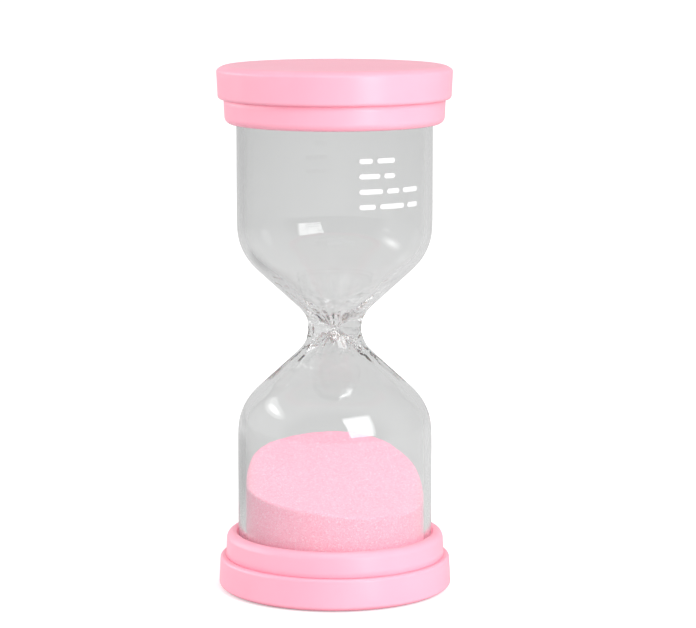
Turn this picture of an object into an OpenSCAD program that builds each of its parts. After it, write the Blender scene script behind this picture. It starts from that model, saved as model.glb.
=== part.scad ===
// Sand timer: a one-piece double glass bulb with fine sand, held between two
// identical moulded ends. Each end is a shallow disc and a collar that plugs
// into it, with a foam pad and a bead of adhesive round the glass's heel.
// Millimetres. The timer stands on z = 0, +Z runs up its axis, and -Y is the front.

/* [Overall] */
// Overall height, end face to end face
overall_h = 135; // [125:1:150]

/* [End discs] */
// Diameter of each end disc
disc_d = 60; // [59:0.5:64]
// Height of each end disc
disc_h = 8.5; // [8:0.5:12]
// How much the disc's side tapers towards the collar, on the radius
disc_taper = 0.3; // [0:0.1:0.5]
// Radius of the soft curve round the disc's flat face
face_curve_r = 4; // [2:0.5:5]
// Slope at the outer end of the soft curve, in degrees
face_slope = 40; // [20:5:45]
// Radius on the edge between the soft curve and the disc's side
disc_edge_r = 0.8; // [0.5:0.1:1.5]
// Radius on the edge of the disc's rim, next to the collar
rim_edge_r = 0.9; // [0.3:0.1:1.1]
// Thickness of the disc's flat face
disc_floor = 2.2; // [1.6:0.1:2.4]
// Thickness of the disc's skirt
disc_skirt = 2.1; // [1.8:0.1:2.2]

/* [Collars] */
// Diameter of each collar where it leaves its disc
collar_d = 56.4; // [56:0.1:57]
// Height of each collar above its disc
collar_h = 6.3; // [5:0.1:8]
// How much the collar's side tapers towards the glass, on the radius
collar_taper = 0.2; // [0:0.1:0.3]
// Radius on the collar's edge next to the glass
collar_edge_r = 1.9; // [0.6:0.1:2]
// Length of the spigot that plugs into the disc
spigot_l = 4.8; // [3:0.2:5]
// Radial gap round the spigot, filled by adhesive
spigot_gap = 0.05; // [0.02:0.01:0.1]
// Radial gap between the collar and the glass
glass_gap = 0.4; // [0.3:0.05:0.6]

/* [Glass] */
// Outer diameter of the bulbs
glass_d = 50; // [49:0.5:50]
// Wall thickness of the bulbs
glass_wall = 1.9; // [1.5:0.1:2.2]
// Outer diameter of the waist
waist_d = 13.6; // [12:0.2:16]
// Radius of the bend round the outside of the waist
waist_bend_r = 7.9; // [6:0.1:9]
// Diameter of the orifice that the sand runs through
orifice_d = 1.2; // [0.8:0.1:2]
// Radius of the bend inside the orifice
throat_bend_r = 1.2; // [1:0.1:2]
// Radius of the wide end of the cone on either side of the orifice
throat_r = 4.6; // [4.2:0.1:5]
// Length of the cone on either side of the orifice
throat_l = 4.4; // [4:0.1:5]
// How far the orifice is above the narrowest place outside
orifice_lift = 0.7; // [0:0.1:0.8]
// Radius of each bulb's shoulder, outside
shoulder_r = 14.5; // [10:0.5:15]
// Distance from the waist to where each bulb becomes straight
shoulder_z = 26.5; // [25:0.5:30]
// Radius of the bulbs' heels, hidden in the collars
heel_r = 5; // [4:0.5:6]
// Diameter of the filling hole in the upper bulb's end
fill_d = 8; // [6:0.5:10]

/* [Sand] */
// Height of the sand's surface on the axis
sand_level = 28.8; // [18:0.2:30]
// Slope of the surface from back to front, in degrees
sand_slope = 15.7; // [0:0.1:16]
// Slope of the surface from left to right, in degrees
sand_side_slope = 4; // [0:0.1:4]
// Clearance between the sand and the glass
sand_gap = 0.1; // [0.05:0.05:0.3]

/* [Packing] */
// Thickness of the foam pads
pad_t = 2; // [1.5:0.1:2.5]
// Diameter of the foam pads
pad_d = 48; // [44:1:50]
// Height of the adhesive bead round each heel
glue_h = 3.9; // [3:0.1:4]
// Diameter of the stopper's head
stopper_head_d = 12; // [11:0.5:13]
// Length of the stopper's shank
stopper_shank_l = 5; // [4:0.5:8]

/* [Printed mark] */
// Height of the top row of dashes
mark_top_z = 112.7; // [100:0.1:113]
// Distance from row to row
mark_pitch = 3.8; // [2.5:0.1:4]
// Height of a dash
mark_dash_h = 1.3; // [0.6:0.1:2]
// Gap between two dashes of a row
mark_dash_gap = 1.1; // [0.6:0.1:2]
// Thickness of the ink
mark_t = 0.08; // [0.05:0.01:0.15]
// Angle from the front to the start of each row, in degrees
mark_start = 14; // [0:1:60]

/* [Hidden] */
$fn = 96;

arc_steps = 14;
small_r = 0.4;          // radius on edges that are only eased
plastic = [1, 0.72, 0.8];
clear = [0.85, 0.87, 0.88, 0.35];
grains = [1, 0.78, 0.86];
foam = [0.96, 0.96, 0.94];
adhesive = [0.93, 0.93, 0.88, 0.8];
silicone = [0.9, 0.92, 0.93];
ink = [1, 1, 1];

mid_z = overall_h / 2;
glass_z = disc_floor + pad_t;               // lower end of the glass
glass_half_h = mid_z - glass_z;
glass_r = glass_d / 2;
disc_r = disc_d / 2;
rim_r = disc_r - disc_taper;                // disc's radius at the seam
socket_r = rim_r - disc_skirt;              // inside of the disc's skirt
face_r = disc_r - disc_edge_r - (face_curve_r - disc_edge_r) * sin(face_slope); // flat face
face_edge_z = face_curve_r - (face_curve_r - disc_edge_r) * cos(face_slope);    // where the side begins
collar_r = collar_d / 2;
bore_r = glass_r + glass_gap;               // inside of the collar
spigot_z = disc_h - spigot_l;               // lower end of the collar
collar_z = disc_h + collar_h;               // end of the collar next to the glass
stopper_head_t = pad_t - 0.5;               // leaves the disc clear of the stopper
stopper_hole_r = stopper_head_d / 2 + 0.6;  // hole in the upper pad
glue_foot = 0.1;                            // gap between the adhesive and the glass's end
glue_toe = 0.7;                             // height at which the adhesive meets the heel
mark_rows = [[3.6, 5.2], [5.6, 3.2], [6.4, 3.8, 5.6], [4.4, 7.4, 4]]; // dash lengths, row by row

// Points of a circular arc about c, from angle a0 to angle a1
function arc(c, r, a0, a1) =
    [for (i = [0:arc_steps]) let (a = a0 + (a1 - a0) * i / arc_steps) c + r * [cos(a), sin(a)]];

function reversed(points) = [for (i = [len(points) - 1:-1:0]) points[i]];
function flipped(points) = [for (p = points) [p[0], -p[1]]];
function tail(points) = [for (i = [1:len(points) - 1]) points[i]];

// Angle from the axis of the straight line that joins a bend of radius a, which
// bulges towards the axis, to a bend of radius b, which bulges away from it,
// where the second centre is offset from the first by dr and dz
function funnel_angle(a, b, dr, dz) = atan2(dr, dz) + asin((a + b) / norm([dr, dz]));

// Outline of a bulb from a bend of radius a about [c, z0], through the shoulder,
// to the bulb's end at height h, for a wall that lies inset inside the glass
function bulb_outline(c, z0, a, inset, h) =
    let (r_body = glass_r - inset, r_shoulder = shoulder_r - inset, r_heel = heel_r - inset)
    let (slope = funnel_angle(a, r_shoulder, r_body - r_shoulder - c, shoulder_z - z0))
    concat(
        a > 0 ? arc([c, z0], a, 180, 180 - slope) : [[c, z0]],
        arc([r_body - r_shoulder, shoulder_z], r_shoulder, -slope, 0),
        arc([r_body - r_heel, h - inset - r_heel], r_heel, 0, 90)
    );

// Outline of the cavity on one side of the orifice, which is at height z0
function cavity_outline(z0) =
    let (c = orifice_d / 2 + throat_bend_r)
    let (slope = funnel_angle(throat_bend_r, 0, throat_r - c, throat_l))
    concat(
        arc([c, z0], throat_bend_r, 180, 180 - slope),
        bulb_outline(throat_r, z0 + throat_l, 0, glass_wall, glass_half_h)
    );

outer_outline = bulb_outline(waist_d / 2 + waist_bend_r, 0, waist_bend_r, 0, glass_half_h);

// Places its children at the lower end, or mirrored at the upper end
module at_end(upper) {
    if (upper) translate([0, 0, overall_h]) mirror([0, 0, 1]) children();
    else children();
}

// Shallow cup with a flat face and a slightly tapered skirt
module disc() {
    color(plastic) rotate_extrude() polygon(concat(
        [[0, 0]],
        arc([face_r, face_curve_r], face_curve_r, -90, face_slope - 90),
        tail(arc([disc_r - disc_edge_r, face_edge_z], disc_edge_r, face_slope - 90, 0)),
        arc([rim_r - rim_edge_r, disc_h - rim_edge_r], rim_edge_r, 0, 90),
        [[socket_r, disc_h], [socket_r, disc_floor + small_r]],
        [[socket_r - small_r, disc_floor], [0, disc_floor]]
    ));
}

// Ring that plugs into the disc, rests on its rim and surrounds the glass
module collar() {
    tip_r = collar_r - collar_taper;
    color(plastic) rotate_extrude() polygon(concat(
        [[bore_r, spigot_z], [socket_r - spigot_gap - small_r, spigot_z]],
        [[socket_r - spigot_gap, spigot_z + small_r], [socket_r - spigot_gap, disc_h]],
        [[collar_r, disc_h]],
        arc([tip_r - collar_edge_r, collar_z - collar_edge_r], collar_edge_r, 0, 90),
        arc([bore_r + small_r, collar_z - small_r], small_r, 90, 180)
    ));
}

// Foam disc between the end disc and the glass, with a hole where one is asked for
module pad(hole_r) {
    color(foam) translate([0, 0, disc_floor]) difference() {
        cylinder(r = pad_d / 2, h = pad_t);
        if (hole_r > 0) translate([0, 0, -1]) cylinder(r = hole_r, h = pad_t + 2);
    }
}

// Adhesive in the corner between the glass's heel, the collar and the pad
module glue_bead() {
    heel_c = [glass_r - heel_r, glass_z + heel_r];
    heel_low = asin((heel_r - glue_toe) / heel_r);
    heel_high = asin((heel_r - glue_h) / heel_r);
    color(adhesive) rotate_extrude() polygon(concat(
        [[bore_r, glass_z + glue_h], [bore_r, glass_z + glue_foot]],
        [[heel_c[0] + heel_r * cos(heel_low), glass_z + glue_foot]],
        arc(heel_c, heel_r, -heel_low, -heel_high)
    ));
}

// Double bulb with a closed lower end and a filling hole in its upper end
module glass_bulbs() {
    end_z = glass_half_h - glass_wall;
    color(clear) translate([0, 0, mid_z]) rotate_extrude() polygon(concat(
        [[0, -glass_half_h]],
        reversed(flipped(outer_outline)),
        tail(outer_outline),
        [[fill_d / 2, glass_half_h], [fill_d / 2, end_z]],
        reversed(cavity_outline(orifice_lift)),
        tail(flipped(cavity_outline(-orifice_lift))),
        [[0, -end_z]]
    ));
}

// Sand at rest in the lower bulb, with the slope it was left with
module sand() {
    sand_r = glass_r - glass_wall - sand_gap;
    bed_r = heel_r - glass_wall - sand_gap;
    bed_z = glass_z + glass_wall + sand_gap;
    color(grains) difference() {
        rotate_extrude() polygon(concat(
            [[0, bed_z]],
            arc([sand_r - bed_r, bed_z + bed_r], bed_r, -90, 0),
            [[sand_r, mid_z - shoulder_z], [0, mid_z - shoulder_z]]
        ));
        translate([0, 0, sand_level]) rotate([sand_slope, sand_side_slope, 0])
            translate([-glass_d, -glass_d, 0]) cube([2 * glass_d, 2 * glass_d, glass_d]);
    }
}

// Stopper pressed into the filling hole, its head resting on the glass
module filling_stopper() {
    color(silicone) translate([0, 0, overall_h - glass_z]) rotate_extrude() polygon([
        [0, -stopper_shank_l],
        [fill_d / 2 - small_r, -stopper_shank_l],
        [fill_d / 2, -stopper_shank_l + small_r],
        [fill_d / 2, 0],
        [stopper_head_d / 2, 0],
        [stopper_head_d / 2, stopper_head_t - small_r],
        [stopper_head_d / 2 - small_r, stopper_head_t],
        [0, stopper_head_t],
    ]);
}

// Distance from the start of a row of dashes to the start of dash i
function dash_start(row, i) =
    i == 0 ? 0 : dash_start(row, i - 1) + row[i - 1] + mark_dash_gap;

// Rows of plain dashes in ink on the front of the upper bulb
module printed_mark() {
    mm_to_deg = 180 / (PI * glass_r);
    color(ink) for (n = [0:len(mark_rows) - 1], i = [0:len(mark_rows[n]) - 1])
        translate([0, 0, mark_top_z - n * mark_pitch - mark_dash_h / 2])
            rotate([0, 0, -90 + mark_start + dash_start(mark_rows[n], i) * mm_to_deg])
                rotate_extrude(angle = mark_rows[n][i] * mm_to_deg)
                    translate([glass_r, 0]) square([mark_t, mark_dash_h]);
}

glass_bulbs();
sand();
filling_stopper();
printed_mark();
at_end(false) disc();  // base_disc
at_end(false) collar();  // base_collar
at_end(false) pad(0);  // base_pad
at_end(false) glue_bead();  // base_glue_bead
at_end(true) disc();  // top_disc
at_end(true) collar();  // top_collar
at_end(true) pad(stopper_hole_r);  // top_pad
at_end(true) glue_bead();  // top_glue_bead
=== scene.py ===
from math import asin, atan2, cos, degrees, exp, hypot, pi, radians, sin, tan

import bpy
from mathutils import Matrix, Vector, noise


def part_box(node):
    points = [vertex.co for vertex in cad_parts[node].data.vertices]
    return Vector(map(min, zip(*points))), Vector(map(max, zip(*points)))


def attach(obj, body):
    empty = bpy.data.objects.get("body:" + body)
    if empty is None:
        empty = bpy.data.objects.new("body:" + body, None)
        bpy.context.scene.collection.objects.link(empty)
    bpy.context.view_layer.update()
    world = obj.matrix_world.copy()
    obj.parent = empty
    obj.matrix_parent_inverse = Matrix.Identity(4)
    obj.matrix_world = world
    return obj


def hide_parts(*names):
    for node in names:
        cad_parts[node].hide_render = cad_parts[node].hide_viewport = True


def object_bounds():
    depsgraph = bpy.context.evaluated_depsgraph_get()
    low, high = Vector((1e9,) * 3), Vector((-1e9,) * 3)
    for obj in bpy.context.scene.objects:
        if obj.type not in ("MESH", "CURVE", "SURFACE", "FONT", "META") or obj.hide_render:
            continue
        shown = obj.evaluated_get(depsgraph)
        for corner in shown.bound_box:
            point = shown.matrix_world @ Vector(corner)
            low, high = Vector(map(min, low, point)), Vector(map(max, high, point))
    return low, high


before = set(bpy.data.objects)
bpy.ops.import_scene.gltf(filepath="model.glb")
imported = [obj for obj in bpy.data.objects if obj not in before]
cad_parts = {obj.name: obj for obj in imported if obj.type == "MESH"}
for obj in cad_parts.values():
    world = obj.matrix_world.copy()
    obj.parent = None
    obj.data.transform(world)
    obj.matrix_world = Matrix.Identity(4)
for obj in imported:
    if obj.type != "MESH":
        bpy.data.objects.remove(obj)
cad_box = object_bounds()

MM = 0.001
TAU = 2 * pi
HEIGHT = cad_box[1].z
MID = HEIGHT / 2


# ---------------------------------------------------------------- sizes from the frame

def radius_of(node):
    low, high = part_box(node)
    return (high.x - low.x) / 2


DISC_R, COLLAR_R, GLASS_R = radius_of("base_disc"), radius_of("base_collar"), radius_of("glass_bulbs")
SAND_R, PAD_R, BEAD_R = radius_of("sand"), radius_of("base_pad"), radius_of("base_glue_bead")
DISC_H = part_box("base_disc")[1].z
COLLAR_Z0, COLLAR_Z1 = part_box("base_collar")[0].z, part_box("base_collar")[1].z
GLASS_Z0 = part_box("glass_bulbs")[0].z
PAD_Z0, PAD_Z1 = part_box("base_pad")[0].z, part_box("base_pad")[1].z
SAND_Z0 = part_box("sand")[0].z
BEAD_Z0, BEAD_Z1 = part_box("base_glue_bead")[0].z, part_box("base_glue_bead")[1].z
STOPPER_LOW, STOPPER_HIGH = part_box("filling_stopper")
MARK_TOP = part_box("printed_mark")[1].z


# ---------------------------------------------------------------- design sizes that a box can't give

EASED = 0.4 * MM                        # rounding of small edges
CLEAR = 0.02 * MM                       # room left round the pads and the adhesive
SNUG = 0.01 * MM                        # room left round the stopper
PAD_ROOM = 0.6 * MM                     # between the stopper's head and the hole in the top pad

# End discs and collars
DISC_TAPER = 0.3 * MM                   # how much narrower it is at the rim
DISC_SKIRT = 2.1 * MM                   # thickness of the wall round its socket
FACE_CURVE, FACE_SLOPE = 4 * MM, 40     # soft curve round the flat face, and its slope at the edge in degrees
DISC_EDGE = 0.8 * MM
RIM_EDGE = 0.9 * MM
COLLAR_TAPER = 0.2 * MM                 # how much narrower it is at the tip
COLLAR_EDGE = 1.9 * MM
SPIGOT_GAP = 0.05 * MM                  # between the collar's spigot and the disc's socket

# Glass
WALL = 1.9 * MM
WAIST_R, WAIST_BEND = 6.8 * MM, 7.9 * MM        # outside, where it is narrowest
SHOULDER, SHOULDER_Z = 14.5 * MM, 26.5 * MM     # rounding of the shoulder, and its height from the waist
HEEL = 5 * MM                           # rounding at either end
FILL_R = 4 * MM                         # the hole that the sand is filled through
ORIFICE_R = 0.6 * MM
ORIFICE_LIFT = 0.7 * MM                 # the orifice sits a little above the narrowest place outside
THROAT_BEND = 1.2 * MM
THROAT_R, THROAT_L = 4.6 * MM, 4.4 * MM         # the small cone on either side of the orifice
GLASS_TURN = 220                        # steps round it
GLASS_STEP, GLASS_LONG_STEP = 0.35 * MM, 1.0 * MM       # along its outline, near the waist and elsewhere
RIPPLE_REACH = 15 * MM                  # how far from the waist the glass is uneven
FLOW_START, FLOW_END, FLOW_FADE = 3 * MM, 40 * MM, 5 * MM       # distances from the waist, for melted()

# Sand
SAND_MIDDLE = 28.8 * MM                 # height of the surface on the axis
SAND_BACK, SAND_SIDE = 6.5 * MM, -1.6 * MM      # rise to the back and to the right, at the glass
SAND_SADDLE, SAND_TWIST = -1.2 * MM, 0.56 * MM  # how the rim dips at the sides
SAND_DRIFTS = [(160, 28, 2.2 * MM), (25, 28, 0.9 * MM)]         # angle and half width in degrees, height
SAND_HOLLOWS = [(0.35 * MM, 9 * MM, 0), (0.10 * MM, 2.5 * MM, 3)]       # height, size, place in the noise
SAND_GRAIN, SAND_GRAIN_SIZE = 0.05 * MM, 0.45 * MM
SAND_WORN = 0.15 * MM                   # how far the rim is worn down
SAND_RINGS, SAND_STEPS = 90, 30         # rows of points across the surface and up the side

# Printed mark
MARK_ROWS = [(3.6, 5.2), (5.6, 3.2), (6.4, 3.8, 5.6), (4.4, 7.4, 4.0)]          # dash lengths in mm
MARK_PITCH, MARK_H, MARK_GAP = 3.8 * MM, 1.3 * MM, 1.1 * MM
MARK_START = radians(-90 + 14)          # angle round the glass, where -90 degrees is the front
MARK_STEP = 0.4 * MM
MARK_TIP = 0.02 * MM                    # half the height of a dash where it ends
INK, INK_SUNK = 0.05 * MM, 0.01 * MM    # thickness over the glass, and depth in it

# The studio's light, as radiance or as the share that the floor sends back. White on screen is 1.
STUDIO, STUDIO_DARK = 0.68, 0.10
STUDIO_TURN = -0.55, -0.25              # where the studio turns from dark to grey, along a unit vector's Y
# painted shade: the floor's colour is darker on the left than on the right
FLOOR_LEFT, FLOOR_RIGHT = 0.59, 0.72
FLOOR_TURN = -0.55, -0.05               # where the floor turns from the one to the other, along X
FLOOR_FADE = 1.2, 4.0                   # how far away it fades into the studio
# a painted shadow of the timer: the floor's colour is darker round this place, behind the timer on the left
PAINTED_SHADOW_PLACE, PAINTED_SHADOW_DEPTH = (-0.11, 0.13, 0), 0.75
PAINTED_SHADOW_EDGE = 0.03, 0.11                # the radii where the painted shadow starts to fade and where it ends
LAMP_DISTANCE = 4.0


# ---------------------------------------------------------------- mesh helpers

def new_object(name, verts, faces, smooth=True):
    mesh = bpy.data.meshes.new(name)
    mesh.from_pydata(verts, [], faces)
    mesh.update()
    if smooth:
        mesh.shade_smooth()
    obj = bpy.data.objects.new(name, mesh)
    bpy.context.scene.collection.objects.link(obj)
    return obj


def arc(centre, r, a0, a1, steps=10):
    """Points of a circular arc in the (radius, height) plane, angles in degrees."""
    angles = [radians(a0 + (a1 - a0) * i / steps) for i in range(steps + 1)]
    return [(centre[0] + r * cos(a), centre[1] + r * sin(a)) for a in angles]


def cleaned(points, least=1e-7):
    """The outline without points that lie on the one before."""
    kept = [points[0]]
    for p in points[1:]:
        if hypot(p[0] - kept[-1][0], p[1] - kept[-1][1]) > least:
            kept.append(p)
    return kept


def stepped(points, longest=1.5 * MM):
    """The outline with points added, so that no step along it is longer than that."""
    points = cleaned(points)
    out = [points[0]]
    for a, b in zip(points, points[1:]):
        n = max(1, int(hypot(b[0] - a[0], b[1] - a[1]) / longest + 0.999))
        out += [(a[0] + (b[0] - a[0]) * i / n, a[1] + (b[1] - a[1]) * i / n) for i in range(1, n + 1)]
    return out


def lathe(name, outline, closed=False, turn=256, shape=None):
    """Turns an outline of (radius, height) points round Z in that many steps. Points on the axis become
    poles. An outline that is closed joins its last point to its first. shape(r, angle, z, i) may move the
    point i of the outline."""
    outline = cleaned(outline)
    verts, rows = [], []
    for i, (r, z) in enumerate(outline):
        if r < 1e-9:
            rows.append([len(verts)])
            verts.append((0, 0, z))
            continue
        rows.append(list(range(len(verts), len(verts) + turn)))
        for k in range(turn):
            a = TAU * k / turn
            rr, zz = shape(r, a, z, i) if shape else (r, z)
            verts.append((rr * cos(a), rr * sin(a), zz))
    faces = []
    pairs = list(zip(rows, rows[1:])) + ([(rows[-1], rows[0])] if closed else [])
    for low, high in pairs:
        for k in range(turn):
            n = (k + 1) % turn
            if len(low) == 1:
                faces.append((low[0], high[n], high[k]))
            elif len(high) == 1:
                faces.append((low[k], low[n], high[0]))
            else:
                faces.append((low[k], low[n], high[n], high[k]))
    return new_object(name, verts, faces)


def turned_over(outline):
    """The same outline at the other end of the timer, in an order that keeps its faces outwards."""
    return [(r, HEIGHT - z) for r, z in reversed(outline)]


# ---------------------------------------------------------------- material helpers

def material(name):
    mat = bpy.data.materials.new(name)
    mat.use_nodes = True
    nodes, links = mat.node_tree.nodes, mat.node_tree.links
    return mat, nodes, links, nodes["Principled BSDF"]


def object_coords(nodes):
    return nodes.new("ShaderNodeTexCoord").outputs["Object"]


def noise_node(nodes, links, coords, scale, detail):
    n = nodes.new("ShaderNodeTexNoise")
    links.new(coords, n.inputs["Vector"])
    n.inputs["Scale"].default_value = scale
    n.inputs["Detail"].default_value = detail
    return n.outputs["Fac"]


def cells_node(nodes, links, coords, scale):
    n = nodes.new("ShaderNodeTexVoronoi")
    links.new(coords, n.inputs["Vector"])
    n.inputs["Scale"].default_value = scale
    return n.outputs["Color"], n.outputs["Distance"]


def ramp_node(nodes, links, source, stops):
    n = nodes.new("ShaderNodeValToRGB")
    links.new(source, n.inputs["Fac"])
    while len(n.color_ramp.elements) < len(stops):
        n.color_ramp.elements.new(0.5)
    for e, (place, colour) in zip(n.color_ramp.elements, stops):
        e.position = place
        e.color = (*colour, 1)
    return n.outputs["Color"]


def mapped(nodes, links, source, from_range, to_range):
    n = nodes.new("ShaderNodeMapRange")
    links.new(source, n.inputs["Value"])
    n.inputs["From Min"].default_value, n.inputs["From Max"].default_value = from_range
    n.inputs["To Min"].default_value, n.inputs["To Max"].default_value = to_range
    return n.outputs["Result"]


def bump_node(nodes, links, height, distance, normal=None):
    n = nodes.new("ShaderNodeBump")
    n.inputs["Distance"].default_value = distance
    n.inputs["Strength"].default_value = 1.0
    links.new(height, n.inputs["Height"])
    if normal is not None:
        links.new(normal, n.inputs["Normal"])
    return n.outputs["Normal"]


def math_node(nodes, links, operation, a, b):
    n = nodes.new("ShaderNodeMath")
    n.operation = operation
    links.new(a, n.inputs[0])
    links.new(b, n.inputs[1])
    return n.outputs["Value"]


def shader_mix(nodes, links, factor, a, b):
    n = nodes.new("ShaderNodeMixShader")
    links.new(factor, n.inputs["Fac"])
    links.new(a, n.inputs[1])
    links.new(b, n.inputs[2])
    return n.outputs["Shader"]


def from_one_texture(nodes, links, bsdf, texture, stops, rough_range, rough, bump=0):
    """Drives a material's colour, roughness and bump from one texture."""
    links.new(ramp_node(nodes, links, texture, stops), bsdf.inputs["Base Color"])
    links.new(mapped(nodes, links, texture, rough_range, rough), bsdf.inputs["Roughness"])
    if bump:
        links.new(bump_node(nodes, links, texture, bump), bsdf.inputs["Normal"])


# ---------------------------------------------------------------- materials

def pink_plastic():
    """Satin moulded plastic: faint cloudiness in the pigment, fine moulded texture, slow sink waves."""
    mat, nodes, links, bsdf = material("pink_plastic")
    coords = object_coords(nodes)
    cloud = noise_node(nodes, links, coords, 60, 3)
    colour = ramp_node(nodes, links, cloud, [
        (0.30, (0.945, 0.385, 0.495)), (0.70, (0.960, 0.412, 0.522))])
    links.new(colour, bsdf.inputs["Base Color"])
    grain = noise_node(nodes, links, coords, 5200, 2)
    waves = noise_node(nodes, links, coords, 90, 1)
    links.new(mapped(nodes, links, grain, (0.3, 0.7), (0.31, 0.37)), bsdf.inputs["Roughness"])
    slow = bump_node(nodes, links, waves, 0.06 * MM)
    links.new(bump_node(nodes, links, grain, 0.004 * MM, slow), bsdf.inputs["Normal"])
    bsdf.inputs["Specular IOR Level"].default_value = 0.4
    bsdf.inputs["Subsurface Weight"].default_value = 0.06
    bsdf.inputs["Subsurface Radius"].default_value = (1.0, 0.45, 0.5)
    bsdf.inputs["Subsurface Scale"].default_value = 1.2 * MM
    return mat


def clear_glass():
    """Clear soda glass. Lamps and bounced light pass straight through it, so that what is inside is lit."""
    mat, nodes, links, bsdf = material("clear_glass")
    bsdf.inputs["Base Color"].default_value = (0.975, 0.980, 0.978, 1)
    bsdf.inputs["Roughness"].default_value = 0.0
    bsdf.inputs["IOR"].default_value = 1.5
    bsdf.inputs["Transmission Weight"].default_value = 1.0
    ripple = noise_node(nodes, links, object_coords(nodes), 55, 2)
    links.new(bump_node(nodes, links, ripple, 0.05 * MM), bsdf.inputs["Normal"])
    path = nodes.new("ShaderNodeLightPath").outputs
    lighting = math_node(nodes, links, "MAXIMUM", path["Is Shadow Ray"], path["Is Diffuse Ray"])
    clear = nodes.new("ShaderNodeBsdfTransparent")
    clear.inputs["Color"].default_value = (0.98, 0.98, 0.98, 1)
    shader = shader_mix(nodes, links, lighting, bsdf.outputs["BSDF"], clear.outputs["BSDF"])
    links.new(shader, nodes["Material Output"].inputs["Surface"])
    return mat


def pink_sand():
    """Dyed quartz sand: cells the size of grains, each with its own tint and gloss, and some of them pale.
    Wherever the glass mirrors it, the sand is grey, which keeps the glass free of pink."""
    mat, nodes, links, bsdf = material("pink_sand")
    cells, distance = cells_node(nodes, links, object_coords(nodes), 4200)
    split = nodes.new("ShaderNodeSeparateColor")
    links.new(cells, split.inputs["Color"])
    colour = ramp_node(nodes, links, split.outputs["Red"], [
        (0.0, (0.93, 0.38, 0.50)), (0.35, (0.98, 0.46, 0.585)),
        (0.85, (0.99, 0.51, 0.63)), (1.0, (1.0, 0.68, 0.765))])
    mirrored = nodes.new("ShaderNodeLightPath").outputs["Glossy Depth"]
    seen = nodes.new("ShaderNodeMix")
    seen.data_type = "RGBA"
    factor, pink, grey = (seen.inputs[k] for k in (0, 6, 7))        # the node's sockets for colours
    links.new(mapped(nodes, links, mirrored, (0, 1), (0, 1)), factor)
    links.new(colour, pink)
    grey.default_value = (0.62, 0.62, 0.62, 1)
    links.new(seen.outputs[2], bsdf.inputs["Base Color"])
    rough = mapped(nodes, links, split.outputs["Green"], (0.0, 1.0), (0.55, 0.95))
    links.new(rough, bsdf.inputs["Roughness"])
    links.new(bump_node(nodes, links, distance, 0.07 * MM), bsdf.inputs["Normal"])
    return mat


def white_ink():
    """Screen-printed ink, a little patchy."""
    mat, nodes, links, bsdf = material("white_ink")
    patches = noise_node(nodes, links, object_coords(nodes), 2500, 3)
    stops = [(0.3, (0.80, 0.80, 0.80)), (0.6, (0.88, 0.88, 0.88))]
    from_one_texture(nodes, links, bsdf, patches, stops, (0.3, 0.7), (0.3, 0.5))
    return mat


def foam():
    """Foam with open pores."""
    mat, nodes, links, bsdf = material("foam")
    pores = cells_node(nodes, links, object_coords(nodes), 2200)[1]
    # painted shade: the colour is darker in the pores, as the shade inside them
    stops = [(0.0, (0.55, 0.55, 0.53)), (0.35, (0.86, 0.86, 0.84))]
    from_one_texture(nodes, links, bsdf, pores, stops, (0.0, 0.5), (0.95, 0.8), 0.15 * MM)
    return mat


def adhesive():
    """Cloudy set adhesive."""
    mat, nodes, links, bsdf = material("adhesive")
    cloud = noise_node(nodes, links, object_coords(nodes), 300, 3)
    stops = [(0.3, (0.80, 0.77, 0.68)), (0.7, (0.88, 0.86, 0.79))]
    from_one_texture(nodes, links, bsdf, cloud, stops, (0.3, 0.7), (0.3, 0.5), 0.2 * MM)
    bsdf.inputs["Subsurface Weight"].default_value = 0.4
    bsdf.inputs["Subsurface Scale"].default_value = 2 * MM
    return mat


def silicone():
    """Milky silicone, a little dusty."""
    mat, nodes, links, bsdf = material("silicone")
    dust = noise_node(nodes, links, object_coords(nodes), 1500, 3)
    stops = [(0.3, (0.74, 0.75, 0.75)), (0.7, (0.82, 0.83, 0.83))]
    from_one_texture(nodes, links, bsdf, dust, stops, (0.3, 0.7), (0.35, 0.55), 0.03 * MM)
    bsdf.inputs["Subsurface Weight"].default_value = 0.3
    bsdf.inputs["Subsurface Scale"].default_value = 1.5 * MM
    return mat


def mirrored_floor(nodes, links, bsdf):
    """The floor as glass, gloss and bounced light find it. It is the pale grey of a lit studio, with painted
    shade that darkens it far out on the left and a painted shadow of the timer behind it on the left, so
    that clear glass stands out. Far away it fades into the studio's own grey, which leaves no horizon."""
    coords = object_coords(nodes)
    side = nodes.new("ShaderNodeSeparateXYZ")
    links.new(coords, side.inputs["Vector"])
    away = nodes.new("ShaderNodeVectorMath")
    away.operation = "DISTANCE"
    links.new(coords, away.inputs[0])
    away.inputs[1].default_value = PAINTED_SHADOW_PLACE
    distance = away.outputs["Value"]
    # painted shade: the floor's colour darker towards the left
    shade = mapped(nodes, links, side.outputs["X"], FLOOR_TURN, (FLOOR_LEFT, FLOOR_RIGHT))
    # painted shadow: the floor's colour darker near the timer's shadow place
    shadow = mapped(nodes, links, distance, PAINTED_SHADOW_EDGE, (PAINTED_SHADOW_DEPTH, 1))
    links.new(math_node(nodes, links, "MULTIPLY", shade, shadow), bsdf.inputs["Base Color"])
    bsdf.inputs["Roughness"].default_value = 0.9
    bsdf.inputs["Specular IOR Level"].default_value = 0.1
    backdrop = nodes.new("ShaderNodeEmission")
    backdrop.inputs["Strength"].default_value = STUDIO
    fade = mapped(nodes, links, distance, FLOOR_FADE, (0, 1))
    return shader_mix(nodes, links, fade, bsdf.outputs["BSDF"], backdrop.outputs["Emission"])


def white_sheet(nodes):
    """The floor as it is seen directly: white, with the timer's soft shadow."""
    sheet = nodes.new("ShaderNodeBsdfPrincipled")
    sheet.inputs["Base Color"].default_value = (0.85, 0.85, 0.85, 1)
    sheet.inputs["Roughness"].default_value = 0.9
    sheet.inputs["Specular IOR Level"].default_value = 0.0
    sheet.inputs["Emission Color"].default_value = (1, 1, 1, 1)
    sheet.inputs["Emission Strength"].default_value = 0.45
    return sheet.outputs["BSDF"]


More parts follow.
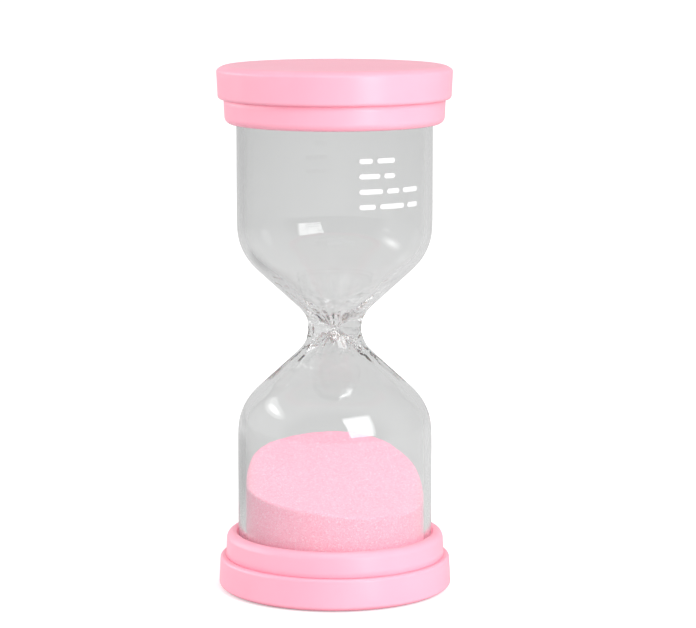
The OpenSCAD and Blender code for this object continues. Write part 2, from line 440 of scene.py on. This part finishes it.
def pale_floor():
    mat, nodes, links, bsdf = material("pale_floor")
    direct = nodes.new("ShaderNodeLightPath").outputs["Is Camera Ray"]
    shader = shader_mix(nodes, links, direct, mirrored_floor(nodes, links, bsdf), white_sheet(nodes))
    links.new(shader, nodes["Material Output"].inputs["Surface"])
    return mat


MATERIALS = {
    "pink_plastic": pink_plastic(), "clear_glass": clear_glass(), "pink_sand": pink_sand(),
    "white_ink": white_ink(), "foam": foam(), "adhesive": adhesive(), "silicone": silicone(),
}


def place(piece, node, slot):
    """Gives a piece the material of that slot and its body, and hides the CAD node that it stands for."""
    piece.data.materials.append(MATERIALS[slot])
    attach(piece, "root")
    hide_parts(node)


# ---------------------------------------------------------------- moulded ends

def disc_outline():
    """The base disc from the middle of its face, round its edge and rim, and down into its socket."""
    rim = DISC_R - DISC_TAPER
    socket = rim - DISC_SKIRT
    inset = (FACE_CURVE - DISC_EDGE) * sin(radians(FACE_SLOPE))
    drop = FACE_CURVE - (FACE_CURVE - DISC_EDGE) * cos(radians(FACE_SLOPE))
    return (
        [(0, 0)]
        + arc((DISC_R - DISC_EDGE - inset, FACE_CURVE), FACE_CURVE, -90, FACE_SLOPE - 90, 14)
        + arc((DISC_R - DISC_EDGE, drop), DISC_EDGE, FACE_SLOPE - 90, 0, 10)
        + arc((rim - RIM_EDGE, DISC_H - RIM_EDGE), RIM_EDGE, 0, 90, 12)
        + arc((socket + EASED / 2, DISC_H - EASED / 2), EASED / 2, 90, 180, 4)
        + arc((socket - EASED, PAD_Z0 + EASED), EASED, 0, -90, 4)
        + [(0, PAD_Z0)]
    )


def collar_outline():
    """The base collar: a spigot that plugs into the disc, and above it the ring that shows."""
    spigot = DISC_R - DISC_TAPER - DISC_SKIRT - SPIGOT_GAP
    tip = COLLAR_R - COLLAR_TAPER
    return (
        arc((BEAD_R + EASED / 2, COLLAR_Z0 + EASED / 2), EASED / 2, 180, 270, 4)
        + arc((spigot - EASED, COLLAR_Z0 + EASED), EASED, -90, 0, 4)
        + [(spigot, DISC_H), (COLLAR_R - EASED / 4, DISC_H), (COLLAR_R, DISC_H + EASED / 4)]
        + arc((tip - COLLAR_EDGE, COLLAR_Z1 - COLLAR_EDGE), COLLAR_EDGE, 0, 90, 16)
        + arc((BEAD_R + EASED, COLLAR_Z1 - EASED), EASED, 90, 180, 6)
    )


def make_ends():
    disc, collar = stepped(disc_outline()), stepped(collar_outline())
    made = {
        "base_disc": lathe("base_disc_moulding", disc),
        "top_disc": lathe("top_disc_moulding", turned_over(disc)),
        "base_collar": lathe("base_collar_moulding", collar, closed=True),
        "top_collar": lathe("top_collar_moulding", turned_over(collar), closed=True),
    }
    for node, piece in made.items():
        place(piece, node, "pink_plastic")
    return list(made.values())


# ---------------------------------------------------------------- glass

def bulb_outline(waist, bend, body, shoulder, shoulder_z, heel, h):
    """Half of a bulb's outline, from the waist at height 0 to its end at height h."""
    dr = (body - shoulder) - (waist + bend)
    slope = degrees(atan2(dr, shoulder_z) + asin((bend + shoulder) / hypot(dr, shoulder_z)))
    return (
        arc((waist + bend, 0), bend, 180, 180 - slope, 24)
        + arc((body - shoulder, shoulder_z), shoulder, -slope, 0, 24)
        + arc((body - heel, h - heel), heel, 0, 90, 12)
    )


def throat_outline():
    """From the orifice, at height 0, out to the wide end of its cone."""
    dr = THROAT_R - ORIFICE_R - THROAT_BEND
    slope = degrees(atan2(dr, THROAT_L) + asin(THROAT_BEND / hypot(dr, THROAT_L)))
    return arc((ORIFICE_R + THROAT_BEND, 0), THROAT_BEND, 180, 180 - slope, 8) + [(THROAT_R, THROAT_L)]


def rising(value, start, width):
    """0 up to the start, 1 from the start plus the width, and even in between."""
    return min(max((value - start) / width, 0), 1)


def melted(outline, passes=60):
    """Lets the curvature flow smoothly from each arc to the next, as in hot glass. The throat and the ends
    keep their shape. The steps are short where the glass ripples and longer elsewhere."""
    points = stepped(outline, GLASS_STEP)
    for _ in range(passes):
        moved = [points[0]]
        for a, b, c in zip(points, points[1:], points[2:]):
            from_waist = abs(b[1])
            free = rising(from_waist, FLOW_START, FLOW_FADE) * (1 - rising(from_waist, FLOW_END, FLOW_FADE))
            moved.append(tuple(b[k] + free * 0.25 * (a[k] - 2 * b[k] + c[k]) for k in range(2)))
        points = moved + [points[-1]]
    kept = [points[0]]
    for p in points[1:]:
        step = GLASS_STEP if abs(p[1]) < RIPPLE_REACH else GLASS_LONG_STEP
        if hypot(p[0] - kept[-1][0], p[1] - kept[-1][1]) > 0.9 * step:
            kept.append(p)
    return kept[:-1] + [points[-1]]


def outside_outline(half):
    """From the lower pole up to the filling hole, heights measured from the middle."""
    upper = bulb_outline(WAIST_R, WAIST_BEND, GLASS_R, SHOULDER, SHOULDER_Z, HEEL, half)
    lower = [(r, -z) for r, z in reversed(upper[1:])]
    return [(0, -half)] + melted(lower + upper) + [(FILL_R, half)]


def cavity_outline(side, half):
    """From the orifice out through one bulb, which is the upper one for side 1 and the lower for -1."""
    start = side * ORIFICE_LIFT + THROAT_L
    bulb = bulb_outline(
        THROAT_R, 0, GLASS_R - WALL, SHOULDER - WALL, SHOULDER_Z - start, HEEL - WALL, half - WALL - start)
    outline = throat_outline() + [(r, z + THROAT_L) for r, z in bulb]
    return [(r, side * z + ORIFICE_LIFT) for r, z in outline]


def inside_outline(half):
    """From the filling hole down to the lower pole, through the orifice."""
    through = cavity_outline(1, half)[::-1] + cavity_outline(-1, half)[1:]
    return [(FILL_R, half - WALL)] + melted(through) + [(0, -half + WALL)]


def bumps(x, y, z, size, seed):
    """Noise of that size, given across and along Z."""
    return noise.noise(Vector((x / size[0], y / size[0], z / size[1] + seed)))


def rippled_inside(r, angle, z):
    """The cones inside are a little lumpy, with strong ridges that run to the orifice. Both fade at the
    orifice itself."""
    near = max(1 - abs(z) / RIPPLE_REACH, 0)
    lumps = bumps(r * cos(angle), r * sin(angle), z, (1.2 * MM, 0.9 * MM), 4.0)
    ridges = bumps(cos(angle), sin(angle), z, (0.22, 4 * MM), 9.0)
    depth = (0.24 if z > 0 else 0.20) * MM
    uneven = 0.4 * min(1, r / (2.4 * MM)) * lumps + 2.4 * min(1, r / (1.2 * MM)) * ridges
    return r + near * depth * uneven


def rippled_outside(r, angle, z):
    """Outside, faint rings go part of the way round the waist, and ridges run along it."""
    near = max(1 - abs(z) / RIPPLE_REACH, 0)
    rings = bumps(cos(angle), sin(angle), z, (0.8, 0.60 * MM), 2.0)
    ridges = bumps(cos(angle), sin(angle), z, (0.22, 3 * MM), 7.0)
    return r + near * near * (0.20 * MM * rings + 0.24 * MM * ridges)


def make_glass():
    half = MID - GLASS_Z0
    outside, inside = outside_outline(half), inside_outline(half)

    def shape(r, angle, z, i):
        rippled = rippled_outside if i < len(outside) else rippled_inside
        return rippled(r, angle, z - MID), z

    outline = [(r, z + MID) for r, z in outside + inside]
    glass = lathe("glass_double_bulb", outline, turn=GLASS_TURN, shape=shape)
    place(glass, "glass_bulbs", "clear_glass")


# ---------------------------------------------------------------- sand

def sand_height(x, y):
    """Height of the sand's surface: a slope with a drift on each side of the back, and soft hollows."""
    u, v = x / SAND_R, y / SAND_R
    z = SAND_MIDDLE + SAND_BACK * v + SAND_SIDE * u
    z += SAND_SADDLE * (u * u - v * v) + SAND_TWIST * 2 * u * v
    for place_angle, half_width, height in SAND_DRIFTS:
        away = (degrees(atan2(v, u)) - place_angle + 180) % 360 - 180
        z += height * (u * u + v * v) * exp(-(away / half_width) ** 2)
    for height, size, seed in SAND_HOLLOWS:
        z += height * noise.noise(Vector((x, y, seed)) / size)
    return z


def make_sand():
    """Turned like the rest, from a flat-topped outline. Its top is then raised or lowered to the surface of
    the sand, and its side is stretched to meet it."""
    bed = HEEL - WALL - (GLASS_R - WALL - SAND_R)
    foot = SAND_Z0 + bed
    below = [(0, SAND_Z0)] + arc((SAND_R - bed, foot), bed, -90, 0, 8)
    shares = [(step / SAND_STEPS) ** 1.2 for step in range(1, SAND_STEPS)]
    side = [(SAND_R, foot + (SAND_MIDDLE - foot) * share) for share in shares]
    top = [(SAND_R * ring / SAND_RINGS, SAND_MIDDLE) for ring in range(SAND_RINGS, 0, -1)]

    def shape(r, angle, z, i):
        if i < len(below):
            return r, z
        x, y = r * cos(angle), r * sin(angle)
        surface = sand_height(x, y)
        if i < len(below) + len(side):
            return r, foot + (surface - SAND_WORN - foot) * (z - foot) / (SAND_MIDDLE - foot)
        grain = SAND_GRAIN * noise.noise(Vector((x, y, 7)) / SAND_GRAIN_SIZE)
        worn = SAND_WORN if i == len(below) + len(side) else 0
        return r, surface + grain - worn

    sand = lathe("sand_heap", below + side + top + [(0, sand_height(0, 0))], shape=shape)
    sand.visible_glossy = False     # keeps its pink out of the reflections in the glass
    place(sand, "sand", "pink_sand")
    return sand


# ---------------------------------------------------------------- printed mark

def dash_columns(length):
    """Places along a dash with round ends, each with half the dash's height there."""
    r = MARK_H / 2
    cap = [(s, max(half, MARK_TIP)) for s, half in arc((r, 0), r, 180, 90, 4)]
    n = max(2, int((length - MARK_H) / MARK_STEP))
    middle = [(r + (length - MARK_H) * i / n, r) for i in range(1, n)]
    return cap + middle + [(length - s, half) for s, half in reversed(cap)]


def add_dash(verts, faces, start, length, bottom):
    """One dash, as a thin plate bent round the glass."""
    first = len(verts)
    inner, outer = GLASS_R - INK_SUNK, GLASS_R + INK
    for s, half in dash_columns(length):
        a = start + s / GLASS_R
        for r, up in ((inner, -half), (inner, half), (outer, half), (outer, -half)):
            verts.append((r * cos(a), r * sin(a), bottom + MARK_H / 2 + up))
    last = len(verts) - 4
    for b in range(first, last, 4):
        faces += [(b + k, b + (k + 1) % 4, b + 4 + (k + 1) % 4, b + 4 + k) for k in range(4)]
    faces += [(first + 3, first + 2, first + 1, first), (last, last + 1, last + 2, last + 3)]


def make_mark():
    verts, faces = [], []
    for n, row in enumerate(MARK_ROWS):
        bottom = MARK_TOP - MARK_H - n * MARK_PITCH
        along = 0.0
        for length in row:
            add_dash(verts, faces, MARK_START + along / GLASS_R, length * MM, bottom)
            along += length * MM + MARK_GAP
    mark = new_object("printed_dashes", verts, faces, smooth=False)
    place(mark, "printed_mark", "white_ink")


# ---------------------------------------------------------------- packing inside the ends

def pad_outline(hole, soft=0.5 * MM):
    """A foam pad with soft edges round a hole of that radius, which may be 0."""
    low, high = PAD_Z0 + CLEAR, PAD_Z1 - CLEAR
    lower_edge = arc((PAD_R - soft, low + soft), soft, -90, 0, 4)
    upper_edge = arc((PAD_R - soft, high - soft), soft, 0, 90, 4)
    return [(hole, low)] + lower_edge + upper_edge + [(hole, high)]


def bead_outline(foot=0.7 * MM):
    """Adhesive in the gap between the collar's bore and the glass's round heel. foot is how far above the
    glass's end its lower edge meets the heel."""
    centre = (GLASS_R - HEEL, GLASS_Z0 + HEEL)
    low = -degrees(asin((HEEL - foot) / HEEL))
    high = -degrees(asin((HEEL - (BEAD_Z1 - GLASS_Z0)) / HEEL))
    heel = arc(centre, HEEL + CLEAR, low, high, 8)
    bore = BEAD_R - CLEAR
    return [(bore, BEAD_Z1), (bore, BEAD_Z0), (heel[0][0], BEAD_Z0)] + heel


def stopper_outline():
    """A plug in the filling hole, with a wider head that rests on the end of the glass."""
    low, high, seat = STOPPER_LOW.z, STOPPER_HIGH.z, HEIGHT - GLASS_Z0 + SNUG
    plug, head = FILL_R - SNUG, STOPPER_HIGH.x
    return (
        [(0, low)]
        + arc((plug - EASED, low + EASED), EASED, -90, 0, 4)
        + [(plug, seat), (head, seat)]
        + arc((head - EASED, high - EASED), EASED, 0, 90, 4)
        + [(0, high)]
    )


def make_packing():
    base = stepped(pad_outline(0))
    top = stepped(pad_outline(STOPPER_HIGH.x + PAD_ROOM))
    bead = stepped(bead_outline(), 0.8 * MM)
    place(lathe("base_foam_pad", base, turn=128), "base_pad", "foam")
    place(lathe("top_foam_pad", turned_over(top), closed=True, turn=128), "top_pad", "foam")
    place(lathe("base_adhesive", bead, closed=True, turn=160), "base_glue_bead", "adhesive")
    place(lathe("top_adhesive", turned_over(bead), closed=True, turn=160), "top_glue_bead", "adhesive")
    place(lathe("silicone_stopper", stepped(stopper_outline()), turn=96), "filling_stopper", "silicone")


# ---------------------------------------------------------------- stage, light and camera

def make_floor(half=9.0):
    """A flat sheet that reaches further than the camera sees."""
    verts = [(-half, -half, 0), (half, -half, 0), (half, half, 0), (-half, half, 0)]
    floor = new_object("floor", verts, [(0, 1, 2, 3)], smooth=False)
    floor.data.materials.append(pale_floor())


def towards(azimuth, elevation):
    """A unit vector. Azimuth 0 is in front of the timer and positive to the right."""
    a, e = radians(azimuth), radians(elevation)
    return Vector((sin(a) * cos(e), -cos(a) * cos(e), sin(e)))


def area_light(name, way, spread, radiance, distance=LAMP_DISTANCE, shape="RECTANGLE", lit=None, shaded=True):
    """A softbox that faces the timer's middle. way is its azimuth and elevation, and spread how wide and
    high it looks from there, all in degrees. lit lists the pieces that it lights. Unless shaded, they alone
    shade each other from it."""
    lamp = bpy.data.lights.new(name, "AREA")
    lamp.shape = shape
    lamp.size = 2 * distance * tan(radians(spread[0] / 2))
    lamp.size_y = 2 * distance * tan(radians(spread[1] / 2))
    lamp.energy = radiance * pi * lamp.size * lamp.size_y * (pi / 4 if shape == "ELLIPSE" else 1)
    obj = bpy.data.objects.new(name, lamp)
    obj.location = Vector((0, 0, MID)) + distance * towards(*way)
    obj.rotation_euler = towards(*way).to_track_quat("Z", "Y").to_euler()
    obj.visible_camera = False
    bpy.context.scene.collection.objects.link(obj)
    if lit:
        group = bpy.data.collections.new(name + "_lights")
        for piece in lit:
            group.objects.link(piece)
        obj.light_linking.receiver_collection = group
        if not shaded:
            obj.light_linking.blocker_collection = group
    return obj


def make_lights(moulded, sand):
    """The window mirrors itself in the glass, but the satin ends get their gloss from smaller lamps."""
    rest = [o for o in bpy.context.scene.collection.objects if o.type == "MESH" and o not in moulded]
    window = (34, 29.5), (32, 41), 5.0
    area_light("window", *window, lit=rest)
    area_light("window_on_ends", *window, lit=moulded).visible_glossy = False

    # a lamp with a bright core in a wide shade, which is just behind it
    area_light("lamp_core", (-104, 36), (26, 7), 2.4, shape="ELLIPSE")
    area_light("lamp_rim", (-104, 36), (44, 16), 1.2, LAMP_DISTANCE + 0.01, shape="ELLIPSE")

    on_ends = {"lit": moulded, "shaded": False}
    area_light("left_side", (-104, 9), (60, 40), 2.7, **on_ends)
    area_light("right_side", (78, 12), (60, 40), 0.4, **on_ends)
    area_light("band", (34, 1), (14, 8), 27.0, 1.5, **on_ends)
    area_light("gleam", (15, 75), (44, 34), 2.6, **on_ends).visible_diffuse = False

    on_sand = {"lit": [sand], "shaded": False}
    area_light("sand_top", (34, 65), (40, 30), 2.1, **on_sand)
    area_light("sand_left", (-80, 10), (60, 40), 0.4, **on_sand)
    area_light("sand_back", (190, 4), (60, 40), 1.8, **on_sand)


def make_world():
    """A studio that is pale grey all round, white where it is seen directly. Gloss and glass also find it
    dark behind the camera, which draws the edges of clear glass."""
    world = bpy.data.worlds.new("studio")
    world.use_nodes = True
    nodes, links = world.node_tree.nodes, world.node_tree.links
    path = nodes.new("ShaderNodeLightPath").outputs
    way = nodes.new("ShaderNodeSeparateXYZ")
    links.new(nodes.new("ShaderNodeTexCoord").outputs["Generated"], way.inputs["Vector"])
    mirrored = mapped(nodes, links, way.outputs["Y"], STUDIO_TURN, (STUDIO_DARK, STUDIO))
    level = nodes.new("ShaderNodeMix")
    links.new(path["Is Diffuse Ray"], level.inputs["Factor"])
    links.new(mirrored, level.inputs["A"])
    level.inputs["B"].default_value = STUDIO
    strength = math_node(nodes, links, "MAXIMUM", path["Is Camera Ray"], level.outputs["Result"])
    background = nodes["Background"]
    background.inputs["Color"].default_value = (1, 1, 1, 1)
    links.new(strength, background.inputs["Strength"])
    bpy.context.scene.world = world


def set_light_paths():
    """Enough bounces for light to find its way through the double walls of the glass."""
    cycles = bpy.context.scene.cycles
    cycles.max_bounces = 160
    cycles.transmission_bounces = 160
    cycles.glossy_bounces = 160
    cycles.transparent_max_bounces = 32


def make_camera():
    """A long lens in front of the timer and a little higher than its top, tilted down and aimed just right
    of its axis."""
    distance, height, tilt = 0.7143, 0.1777, radians(8.48)
    aside = 0.0034
    cam = bpy.data.cameras.new("camera")
    cam.sensor_width = 36
    cam.lens = 145.6
    obj = bpy.data.objects.new("camera", cam)
    obj.location = (0, -distance, height)
    target = Vector((aside, 0, height - distance * tan(tilt)))
    obj.rotation_euler = (target - obj.location).to_track_quat("-Z", "Y").to_euler()
    bpy.context.scene.collection.objects.link(obj)
    bpy.context.scene.camera = obj


ends = make_ends()
make_glass()
heap = make_sand()
make_mark()
make_packing()
make_floor()
make_world()
make_lights(ends, heap)
set_light_paths()
make_camera()
bpy.context.scene.view_settings.view_transform = "Standard"
